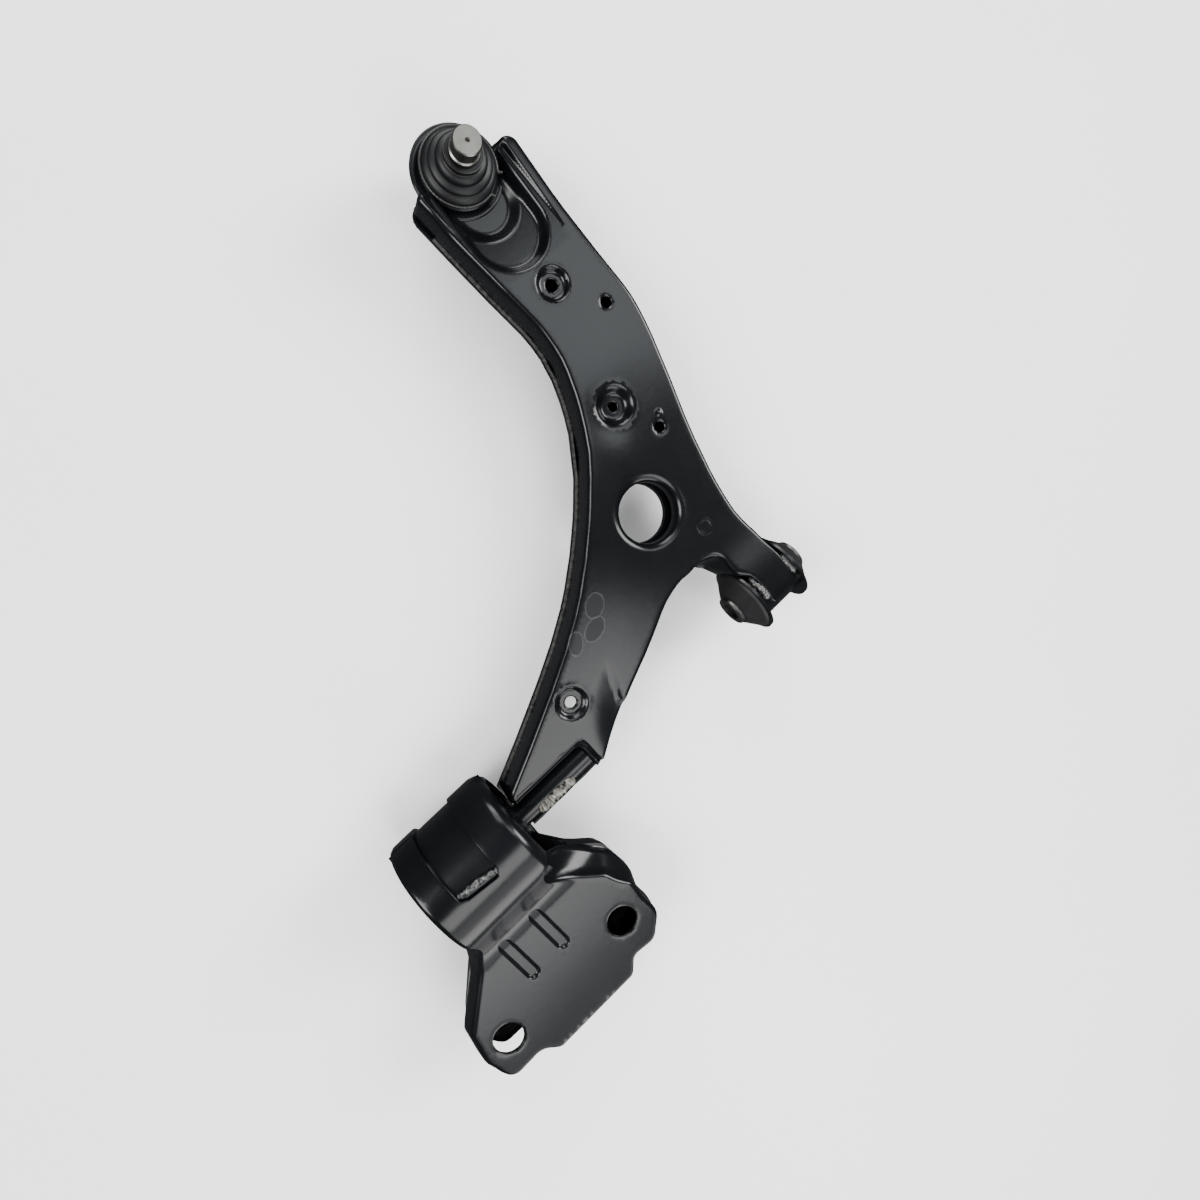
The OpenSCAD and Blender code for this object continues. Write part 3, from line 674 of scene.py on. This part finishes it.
def build_arm():
    outline = resample(rounded(ARM_KEYS, 9.0), EDGE_GAP)
    holes = [(TOOL[0], TOOL[1], 27.6, 88)]
    holes += [(d[0], d[1], d[4], 32) for d in DIMPLES]
    holes += [(s[0], s[1], s[2], 28) for s in SMALL]
    rings = []
    for cx, cy, r_out, r_in, _, _ in DIMPLES:
        rings += [(cx, cy, r_in, 40), (cx, cy, r_out, 48)]
    zones = [(BJ[0], 318, 46, 1.3)] + [(d[0], d[1], 15, 1.2) for d in DIMPLES]
    zones += [(7.5, 153, 5, 0.9), (-15, 69, 8, 1.0), (-188, 10, 14, 1.2), (-215, 12, 14, 1.3),
              (2, 8, 24, 1.3)]
    lip = []
    for k in range(1, 7):
        a = math.radians(15 * k)
        lip.append((21.7 + 5.9 * (1 - math.sin(a)), ZT - 0.35 - 5.2 * (1 - math.cos(a))))
    lip += [(21.6, ZT - 8), (21.6, ZT - 12)]
    lips = {0: lip}
    for i, d in enumerate(DIMPLES):
        z = float(arm_height(np.array([[d[0] + d[4] + 0.01, d[1]]]))[0])
        lips[1 + i] = [(d[4] - 0.25, z - 0.5), (d[4] - 0.3, z - 1.6)]
    for i, s in enumerate(SMALL):
        z = float(arm_height(np.array([[s[0] + s[2], s[1]]]))[0])
        lips[4 + i] = [(s[2] - 0.3, z - 0.5), (s[2] - 0.35, z - 1.6)]
    x, y = outline[:, 0], outline[:, 1]
    bend = np.full(len(outline), 3.4)
    # the wide rolled corner beside the front bush
    lean = 8.5 * np.exp(-(((x + 29) / 12) ** 2 + ((y - 41) / 13) ** 2))
    bend += 0.8 * lean / 8.5
    bend = np.where((y < 26) & (x > -14) & (x < 19), 1.6, bend)
    bend = np.where((x < TROUGH + 1) & (y < 12), 2.2, bend)
    for _ in range(5):
        bend = (np.roll(bend, 1) + bend + np.roll(bend, -1)) / 3
    lean[lean < 0.05] = 0
    o = stamped("upper_pressing", outline, 2.7, holes, rings, arm_height, arm_foot, bend, lean, zones, lips,
                "arm", PAINT_ARM)
    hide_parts("arm_upper_shell")
    # seat ring round the ball joint housing, and the low side of the pin trough
    prof = soften([(22.2, 0.0), (29.4, 0.0), (29.9, 0.5), (29.9, 2.4), (29.2, 3.0), (22.2, 3.0)], 0.5)
    lathe("upper_seat_ring", prof, (BJ[0], BJ[1], 0), PAINT, "arm")
    low = []
    for x in np.linspace(NECK + 0.3, TROUGH + 0.5, 30):
        dip = 0.35 * math.sin(x * 0.31)
        low.append([(x, -11.9, Z_SPLIT), (x, -11.9, 1.6 + dip), (x, -11.3, 2.6 + dip),
                    (x, -9.8, 2.9 + dip), (x, -9.15, 2.2 + dip), (x, -9.1, Z_SPLIT)])
    verts = [np.array(q) * MM for ring in low for q in ring]
    m = len(low[0])
    faces = []
    for k in range(len(low) - 1):
        faces += strip(m, k * m, (k + 1) * m)
    faces += [tuple(range(m - 1, -1, -1)), tuple((len(low) - 1) * m + j for j in range(m))]
    mesh_object("upper_trough_side", verts, faces, PAINT, "arm", False)


# ---------------------------------------------------------------- bracket, upper shell

# The sheet's section: round the bush by TURN, straight down the slope, through a fillet to the plate.
R_STRAP = 45.4
TURN = math.radians(132)
S_TURN = R_STRAP * TURN
FIL = 26.0
P_TURN = np.array([R_STRAP * math.cos(TURN), R_STRAP * math.sin(TURN)])
D_TURN = np.array([-math.sin(TURN), math.cos(TURN)])
FALL = math.atan2(-D_TURN[1], -D_TURN[0])
S_FIL = (P_TURN[1] - ZT - FIL * (1 - math.cos(FALL))) / -D_TURN[1]
Y_FLAT = P_TURN[0] + D_TURN[0] * S_FIL - FIL * math.sin(FALL)
S_FLAT = S_TURN + S_FIL + FIL * FALL
V0 = Y_FLAT + S_FLAT


def section(v):
    """Point (y, z) and inward normal of the bracket sheet for v, which equals y on the flat plate."""
    s = V0 - v
    y, z, ny, nz = (np.empty(len(v)) for _ in range(4))
    a = s / R_STRAP
    m = s <= S_TURN
    y[m], z[m] = R_STRAP * np.cos(a[m]), R_STRAP * np.sin(a[m])
    ny[m], nz[m] = -np.cos(a[m]), -np.sin(a[m])
    m = (s > S_TURN) & (s <= S_TURN + S_FIL)
    y[m] = P_TURN[0] + D_TURN[0] * (s[m] - S_TURN)
    z[m] = P_TURN[1] + D_TURN[1] * (s[m] - S_TURN)
    ny[m], nz[m] = -math.cos(TURN), -math.sin(TURN)
    m = (s > S_TURN + S_FIL) & (s < S_FLAT)
    b = FALL - (s[m] - S_TURN - S_FIL) / FIL
    y[m] = Y_FLAT + FIL * np.sin(b)
    z[m] = ZT + FIL * (1 - np.cos(b))
    ny[m], nz[m] = np.sin(b), -np.cos(b)
    m = s >= S_FLAT
    y[m], z[m], ny[m], nz[m] = v[m], ZT, 0, -1
    return y, z, ny, nz


BRACKET_KEYS = [
    (-19, V0 - 1, 0), (-40, V0 - 1, 0), (-40, 10, 40), (-40.5, -22, 30), (-42, -40, 12),
    (-52, -54, 14), (-88, -86, 8), (-95, -112, 16), (-86, -136, 10), (-60, -136, 12), (-50, -147, 7),
    (21, -149, 7), (31, -138, 8), (50, -141, 10), (66, -126, 12), (65, -108, 10), (71.5, -92, 16),
    (70, -66, 24), (38.5, -34, 9), (39.5, -18, 14), (40, 20, 40),
    (40, V0 - 1, 0), (12, V0 - 1, 0), (12, 8.5, 2.5), (-19, 12.5, 2.5),
]
HOLE_A = (42.0, -109.0)
HOLE_B = (-69.0, -109.0)
HOLE_R = 11.5
HOLE_POINTS = 48
# x and the two ends of each pressed bead
BEADS = [(2.5, -55, -86), (-26, -55, -86)]


def build_bracket():
    outline = resample(rounded(BRACKET_KEYS, 9.0), EDGE_GAP)
    x, v = outline[:, 0], outline[:, 1]
    n = len(outline)
    # how each stretch of the edge is turned down: inset, drop
    right = sstep(30, 38, x) * sstep(-26, -16, v)
    left = sstep(-34, -39, x) * sstep(-34, -20, v)
    window = ((x > -21) & (x < 14) & (v > 6)) | (v > V0 - 2.5)
    off = 6.5 * (1 - left) + 4.0 * left
    drop = 14.6 * (1 - left) + 4.2 * left
    outer_edge = sstep(-118, -128, v)
    off = off * (1 - outer_edge) + 3.0 * outer_edge
    drop = drop * (1 - outer_edge) + 12.0 * outer_edge
    # on the right the flange slopes far out, and higher up it rolls into the rim of the bush
    side = x > 24
    v_at = [-128, -118, -106, -92, -80, -62, -40, -27, -17, 0, 80]
    off_at = [3, 3.2, 3.6, 9, 15, 17, 17, 16.5, 9.5, 8.5, 8.5]
    drop_at = [12, 12, 13, 15, 15.6, 15.6, 15.6, 15, 10, 9, 9]
    off = np.where(side, np.interp(v, v_at, off_at), off)
    drop = np.where(side, np.interp(v, v_at, drop_at), drop)
    off[window] = 0.5
    drop[window] = 0.35
    # let the values run smoothly along the edge, except at the window
    for _ in range(4):
        so = (np.roll(off, 1) + off + np.roll(off, -1)) / 3
        sd = (np.roll(drop, 1) + drop + np.roll(drop, -1)) / 3
        free = ~window & ~np.roll(window, 1) & ~np.roll(window, -1)
        off[free], drop[free] = so[free], sd[free]
    base = inset(outline, off)
    holes = [circle(cx, cy, HOLE_R, HOLE_POINTS) for cx, cy in (HOLE_A, HOLE_B)]
    zones = [(b[0], y, 11, 0.95) for b in BEADS for y in (-58, -71, -84)]
    f_v, f = fill(base, holes, [], EDGE_GAP, zones)

    def bead(p):
        """Depth of the two beads and of the soft edge round the access holes."""
        d = np.zeros(len(p))
        for cx, y0, y1 in BEADS:
            yy = np.clip(p[:, 1], y1, y0)
            r = np.hypot(p[:, 0] - cx, p[:, 1] - yy)
            d += 2.6 * (1 - sstep(3.2, 5.2, r))
        for cx, cy in (HOLE_A, HOLE_B):
            r = np.hypot(p[:, 0] - cx, p[:, 1] - cy)
            d += 0.15 * (1 - sstep(HOLE_R, 13.0, r))
        return d

    def place(p, dep):
        y, z, ny, nz = section(p[:, 1])
        return np.column_stack([p[:, 0] + RB, y + ny * dep, z + nz * dep])

    verts = [place(f_v, bead(f_v))]
    faces = [tuple(t) for t in f]
    count = len(f_v)
    prev = 0
    bend = np.minimum(4.0, off)
    bend = bend * (1 - right) + right * off
    bend = np.minimum(bend, 0.9 * drop)
    for k in range(1, 6):
        a = math.radians(18 * k * 0.88)
        q = off - bend * math.sin(a)
        dep = np.minimum(bend * (1 - math.cos(a)), drop)
        verts.append(place(inset(outline, q), dep))
        faces += [t[::-1] for t in strip(n, prev, count)]
        prev, count = count, count + n
    q0, d0 = q, dep
    for k in range(1, 5):
        w = k / 4
        verts.append(place(inset(outline, q0 * (1 - w)), d0 + (drop - d0) * w))
        faces += [t[::-1] for t in strip(n, prev, count)]
        prev, count = count, count + n
    start = n
    for cx, cy in (HOLE_A, HOLE_B):
        m = HOLE_POINTS
        prev = start
        start += m
        for r, dep in ((11.3, 0.35), (11.15, 1.0), (11.15, 2.0)):
            c = circle(cx, cy, r, m)
            verts.append(place(c, np.full(m, dep)))
            faces += strip(m, prev, count)
            prev, count = count, count + m
    o = mesh_object("bracket_pressing", np.concatenate(verts) * MM, faces, PAINT, None)
    solid(o, SHEET)
    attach(o, "bracket")
    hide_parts("bracket_upper_shell")


# ---------------------------------------------------------------- ball joint

def build_ball_joint():
    c = (BJ[0], BJ[1], 0)
    top = 45.0
    prof = [(0, -16.5)]
    for k in range(1, 30):
        a = math.radians(-90 + 3 + 150 * k / 30)
        r, z = 13.5 * math.cos(a), -3 + 13.5 * math.sin(a)
        if r < 8 and z > 0:
            break
        prof.append((r, z))
    prof += [(7.9, 8.6), (7.7, 12), (8.0, 18), (8.35, 24), (8.35, 31), (9.55, 31.6), (9.55, 33.3),
             (8.6, 34.0), (8.6, 34.6), (9.0, 35.2), (9.0, top - 0.8), (8.3, top), (1.5, top),
             (0.4, top - 2.2), (0, top - 2.3)]
    stud = lathe("stud", prof, c, STEEL_STUD, "stud")
    stud.data.set_sharp_from_angle(angle=math.radians(28))
    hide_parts("ball_stud")

    # the boot in two pieces that meet at its waist
    z0 = 8.0
    low = [(21.4, 0), (23.3, 0), (23.7, 0.7), (23.0, 1.2), (22.8, 1.8), (23.0, 2.5), (23.7, 3.0), (23.5, 3.9),
           (22.5, 5.2), (21.2, 6.1), (20.0, 6.6), (19.6, 7.1), (20.0, 7.8), (20.4, 8.8), (19.9, 10.1),
           (18.6, 11.1), (17.2, 11.7), (16.3, 12.1)]
    high = [(16.3, 12.1), (15.9, 12.7), (16.2, 13.4), (16.1, 14.6), (15.2, 15.9), (13.7, 16.8), (12.4, 17.2),
            (11.6, 17.9), (11.3, 18.7), (11.6, 19.2), (11.6, 22.0), (11.2, 22.4), (9.3, 22.4), (8.75, 22.1)]
    low = [(r, z0 + z) for r, z in low]
    high = [(r, z0 + z) for r, z in high]

    def shell(outer):
        """The outer section with its inner side added, kept clear of the stud."""
        p = np.array(soften(outer, 0.7, 3))
        d = np.gradient(p, axis=0)
        d /= np.maximum(np.linalg.norm(d, axis=1), 1e-6)[:, None]
        inner = p + 0.8 * np.stack([-np.abs(d[:, 1]) - 0.2, -0.3 * np.ones(len(p))], 1)
        inner[:, 0] = np.maximum(inner[:, 0], 8.7)
        inner[0, 1], inner[-1, 1] = p[0, 1], p[-1, 1]
        return [tuple(q) for q in p] + [tuple(q) for q in inner[::-1]]

    a = lathe("boot_lower", shell(low), c, BOOT, None, 112)
    b = lathe("boot_upper", shell(high), c, BOOT, None, 112)
    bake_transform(a)
    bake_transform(b)
    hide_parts("dust_boot")
    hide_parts("dust_boot")
    # wire clip with open bent ends
    path = []
    for k in range(73):
        t = math.radians(-40 + 326 * k / 72)
        path.append((BJ[0] + 24.3 * math.cos(t), BJ[1] + 24.3 * math.sin(t), z0 + 2.2))
    e0, e1 = np.array(path[0]), np.array(path[-1])
    out0 = unit(np.array([e0[0] - BJ[0], e0[1] - BJ[1], 0]))
    out1 = unit(np.array([e1[0] - BJ[0], e1[1] - BJ[1], 0]))
    far, mid = (3.4, 1.2), (1.6, 0.4)
    path = ([tuple(e0 + out0 * d + (0, 0, h)) for d, h in (far, mid)] + path
            + [tuple(e1 + out1 * d + (0, 0, h)) for d, h in (mid, far)])
    w = worm("boot_wire", path, 1.05, WIRE, "arm", wobble=0.0, n=12)
    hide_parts("boot_lower_clip")


build_arm()
build_bracket()
build_ball_joint()


# ---------------------------------------------------------------- weld beads
def arc_x(x, r, a0, a1, n=24):
    """Points on an arc round the X axis, from a0 to a1 degrees."""
    turns = [math.radians(a0 + (a1 - a0) * k / n) for k in range(n + 1)]
    return [(x, r * math.cos(a), r * math.sin(a)) for a in turns]


w1 = worm("tongue_weld_a", arc_x(-11.8, 22.4, 44, 100), 2.6, WELD, "arm", 0.5, 3)
w2 = worm("tongue_weld_b", arc_x(17.0, 22.6, 52, 98), 2.9, WELD, "arm", 0.5, 8)
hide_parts("front_tube_weld")
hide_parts("front_tube_weld")
pin_path = [(TROUGH - 18, -3.4, 8.0), (TROUGH - 26, -4.6, 7.8), (TROUGH - 34, -3.0, 8.3),
            (TROUGH - 43, -4.2, 7.8), (TROUGH - 52, -3.4, 8.2)]
# The pin weld's pale colour is a painted highlight.
w3 = worm("pin_weld", pin_path, 3.4, WELD_PAINTED_HIGHLIGHT, "arm", 0.75, 5, 18)
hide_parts("rear_pin_weld")
window_path = [(RB - 18.5, 9.0, 42.9), (RB - 10, 7.4, 43.4), (RB - 2, 6.6, 43.3), (RB + 6, 5.0, 43.7),
               (RB + 12.5, 3.6, 43.8)]
w4 = worm("window_weld", window_path, 1.9, WELD_DARK, "bracket", 0.8, 11, 16)
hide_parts("bracket_window_weld")

# ---------------------------------------------------------------- CAD nodes kept as they are
for name, mat, width in (
    ("arm_lower_shell", PAINT_UNDER, 0.6), ("arm_seam_weld", WELD, 0.0), ("front_tube", PAINT_TUBE, 0.4),
    ("front_bush_outer_sleeve_a", PAINT_TUBE, 0.5), ("front_bush_outer_sleeve_b", PAINT_TUBE, 0.5),
    ("front_bush_rubber", RUBBER, 0.6), ("front_bush_inner_sleeve", STEEL_DARK, 0.3),
    ("ball_housing", PAINT_TUBE, 0.4), ("housing_weld", WELD, 0.0), ("ball_closing_cap", PAINT_UNDER, 0.3),
    ("ball_seat_liner", LINER, 0.0), ("boot_upper_clip", WIRE, 0.3), ("rear_pin", PAINT_TUBE, 0.4),
    # The rear bush's inner sleeve takes the black tube paint as painted shade for the deep, dark opening of
    # the bush.
    ("rear_bush_inner_sleeve", PAINT_TUBE, 0.5), ("rear_bush_rubber", RUBBER, 0.8),
    ("rear_bush_outer_tube", PAINT_TUBE, 0.4), ("bracket_lower_shell", PAINT_UNDER, 0.6),
    ("bracket_seam_weld", WELD, 0.0),
):
    paint_cad(name, mat)
    if width:
        bevel_cad(name, width)

# ---------------------------------------------------------------- stage, lights and camera
me = bpy.data.meshes.new("floor")
S, FZ = 6.0, -0.0475
me.from_pydata([(-S, -S, FZ), (S, -S, FZ), (S, S, FZ), (-S, S, FZ)], [], [(0, 1, 2, 3)])
floor = bpy.data.objects.new("floor", me)
bpy.context.scene.collection.objects.link(floor)
fm, fnt, fp = node_material("floor_pale")
pale = ramp(fnt, noise_of(fnt, 3.0, 2.0), [(0.3, grey(0.90)), (0.7, grey(0.93))])
fnt.links.new(pale, fp.inputs["Base Color"])
fp.inputs["Roughness"].default_value = 0.9
me.materials.append(fm)
# the paint doesn't mirror the floor
floor.visible_glossy = False

world = bpy.data.worlds.new("studio")
bpy.context.scene.world = world
world.use_nodes = True
sky = world.node_tree.nodes["Background"].inputs
sky["Color"].default_value = (0.95, 0.97, 1.0, 1)
sky["Strength"].default_value = 0.12


def area(name, pos, target, size, power, color=(1, 1, 1)):
    d = bpy.data.lights.new(name, "AREA")
    d.shape = "RECTANGLE"
    d.size, d.size_y = size
    d.energy = power
    d.color = color
    o = bpy.data.objects.new(name, d)
    bpy.context.scene.collection.objects.link(o)
    o.location = pos
    o.rotation_euler = (Vector(target) - Vector(pos)).to_track_quat("-Z", "Y").to_euler()


area("upper_box", (0.44, 0.315, 1.02), (0.44, 0.315, 0), (0.50, 0.49), 4.0, (0.93, 0.98, 1.0))
area("lower_box", (-0.33, -0.50, 1.02), (-0.33, -0.50, 0), (0.90, 0.54), 12.5)
area("top_far", (0.35, 1.20, 1.05), (0.1, 0.4, 0), (0.9, 0.6), 9)
area("far", (0.85, 2.0, 0.75), (0.0, 0.3, 0), (1.1, 0.8), 30)
area("slope_card", (-0.5, -1.35, 1.0), (-0.3, 0.0, 0), (1.4, 0.65), 7)
area("near_card", (-0.5, -2.1, 0.55), (-0.3, 0.0, 0), (1.6, 0.8), 24)
area("high_left", (-1.9, 1.1, 1.9), (-0.1, 0.1, 0), (1.4, 1.4), 105)
area("high_right", (2.3, -0.4, 1.9), (-0.1, 0.1, 0), (1.4, 1.4), 125)

cam = bpy.data.cameras.new("camera")
cam.lens = 22.5
cam.sensor_width = 36.0
cam.clip_start = 0.01
cam.clip_end = 20.0
co = bpy.data.objects.new("camera", cam)
bpy.context.scene.collection.objects.link(co)
right = Vector((0.7225, -0.6129, 0.32)).normalized()
up = Vector((0.6672, 0.7394, -0.09))
up = (up - up.dot(right) * right).normalized()
back = right.cross(up)
turned = Matrix((right, up, back)).transposed().to_4x4()
co.matrix_world = Matrix.Translation((-0.2036, 0.2269, 0.5064)) @ turned
bpy.context.scene.camera = co
